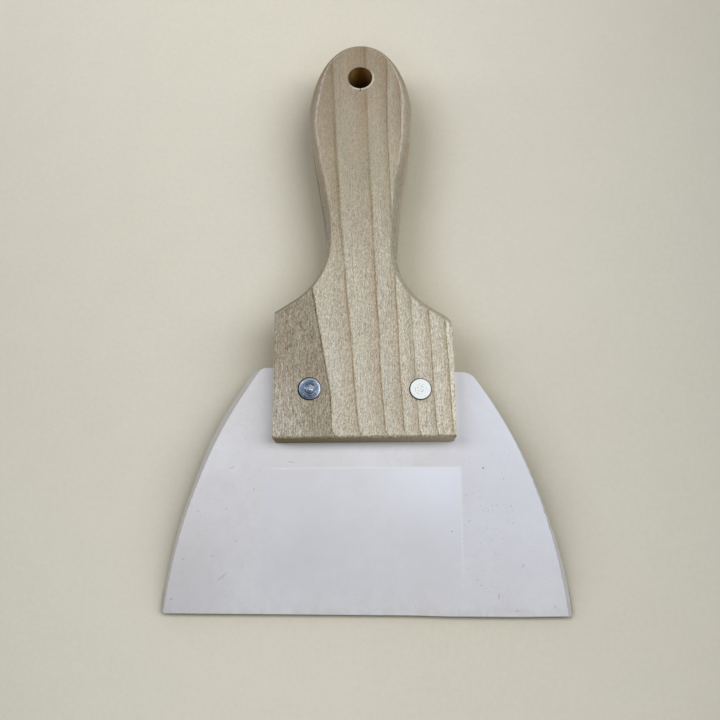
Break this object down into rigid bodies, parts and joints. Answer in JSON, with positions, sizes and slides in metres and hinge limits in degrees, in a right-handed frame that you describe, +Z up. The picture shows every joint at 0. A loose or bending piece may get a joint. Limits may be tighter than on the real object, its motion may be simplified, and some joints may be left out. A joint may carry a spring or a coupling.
{
  "type": "hand scraper",
  "caption": "Hand scraper with a flexible white rubber blade riveted into the slotted block of a contoured wooden handle with a hang hole.",
  "frame": {"origin": "on the flat back of the handle, midway between the two rivets", "axes": "+X across the blade to the right, +Y along the handle towards the hang hole, +Z up out of the handle's front face; the tool lies on its back"},
  "size_m": [0.1534, 0.2321, 0.022],
  "materials": {
    "handle_wood": "bare sanded pale hardwood with fine brown growth lines",
    "blade_rubber": "smooth white filled rubber, satin, lightly soiled",
    "rivet_steel": "bright steel heads with faint turning marks"
  },
  "bodies": {
    "root": {"wooden_handle": "handle_wood", "rubber_blade": "blade_rubber", "left_rivet_post": "rivet_steel", "left_rivet_cap": "rivet_steel", "right_rivet_post": "rivet_steel", "right_rivet_cap": "rivet_steel"}
  },
  "joints": []
}
